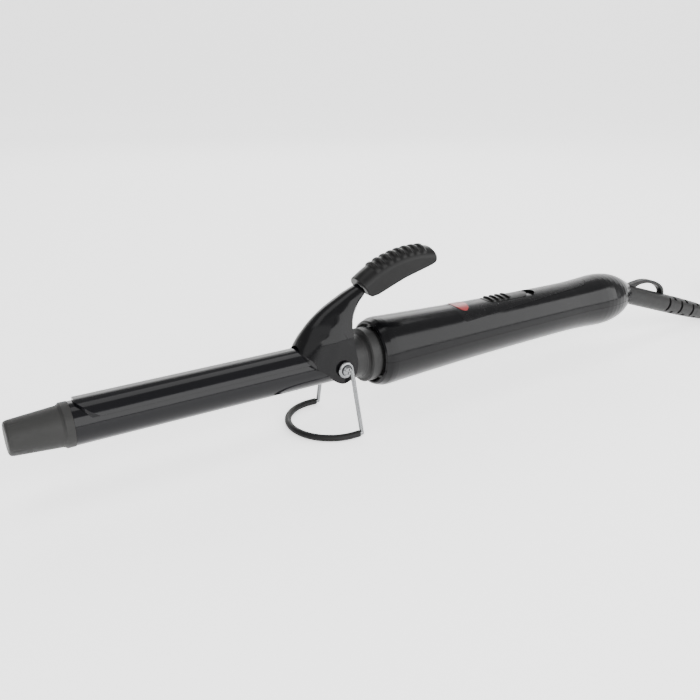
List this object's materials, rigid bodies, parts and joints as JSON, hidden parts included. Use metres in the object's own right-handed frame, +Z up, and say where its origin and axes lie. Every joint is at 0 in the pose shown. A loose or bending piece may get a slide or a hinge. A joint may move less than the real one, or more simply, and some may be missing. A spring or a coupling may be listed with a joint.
{
  "type": "curling iron",
  "caption": "Hair curling iron: glossy barrel with a sprung curved clamp and thumb lever, folding wire stand, handle with slide switch and red lens, swivel cord.",
  "frame": {"origin": "On the surface the iron rests on, below the middle of the iron's bounding box, measured without its lead.", "axes": "+X along the iron from the cool tip to the cord end, +Y across it, +Z up. At rest the iron stands on its wire stand and its lead."},
  "size_m": [0.7312, 0.0548, 0.0853],
  "materials": {
    "tip_grey": "satin",
    "dark_chrome": "polished black chrome",
    "aluminium": "extruded",
    "ceramic": "matte",
    "brass": "satin",
    "mica": "satin",
    "resin": "matte",
    "collar_grey": "satin",
    "chrome": "polished",
    "steel": "brushed",
    "black_gloss": "high gloss",
    "black_satin": "satin",
    "spring_steel": "bright",
    "sleeve_black": "matte",
    "panel_black": "semi gloss",
    "lens_red": "gloss",
    "board_green": "satin",
    "lamp_clear": "gloss",
    "wire_red": "matte",
    "wire_black": "matte",
    "relief_black": "satin",
    "cord_black": "satin",
    "tie_black": "woven",
    "plug_black": "satin",
    "pin_metal": "nickel plated"
  },
  "bodies": {
    "iron": {"barrel_tube": "dark_chrome", "cool_tip": "tip_grey", "heat_shoes": "aluminium", "ptc_tablets": "ceramic", "electrode_strips": "brass", "mica_plates": "mica", "heater_leads": "wire_red", "thermal_fuse": "ceramic", "hinge_block": "resin", "barrel_collar": "collar_grey", "hinge_screws": "chrome", "clamp_spring": "spring_steel", "handle_upper": "black_gloss", "handle_lower": "black_gloss", "handle_screws": "steel", "control_panel": "panel_black", "led_lens": "lens_red", "led_lamp": "lamp_clear", "circuit_board": "board_green", "switch_body": "black_satin", "supply_leads": "wire_black", "brush_contacts": "brass"},
    "clamp": {"clamp_spoon": "dark_chrome", "lever_arm": "black_gloss", "spoon_rivets": "steel", "thumb_grip": "black_satin"},
    "stand": {"stand_wire": "chrome", "stand_sleeve": "sleeve_black"},
    "slider": {"switch_slider": "black_satin"},
    "swivel": {"swivel_stem": "black_satin", "slip_rings": "brass", "strain_relief": "relief_black", "hang_loop": "relief_black", "cord": "cord_black", "cord_tail": "cord_black", "cord_hank": "cord_black", "cord_tie": "tie_black", "plug_body": "plug_black", "plug_pins": "pin_metal"}
  },
  "joints": [
    {"name": "clamp_hinge", "type": "hinge", "parent": "iron", "child": "clamp", "pos_m": [-0.08041, 0, 0.03265], "axis": [0, 1, 0], "range_deg": [0, 23], "stiffness_Nm_per_rad": 0.35, "springref_deg": -20.05, "deforming": ["clamp_spring"]},
    {"name": "stand_hinge", "type": "hinge", "parent": "iron", "child": "stand", "pos_m": [-0.08041, 0, 0.03265], "axis": [0, 1, 0], "range_deg": [-90, 0]},
    {"name": "switch_slide", "type": "slide", "parent": "iron", "child": "slider", "axis": [1, 0, 0.007], "range_m": [0, 0.0045]},
    {"name": "cord_swivel", "type": "hinge", "parent": "iron", "child": "swivel", "pos_m": [0.12719, 0, 0.0338], "axis": [1, 0, 0.007], "continuous": true}
  ]
}
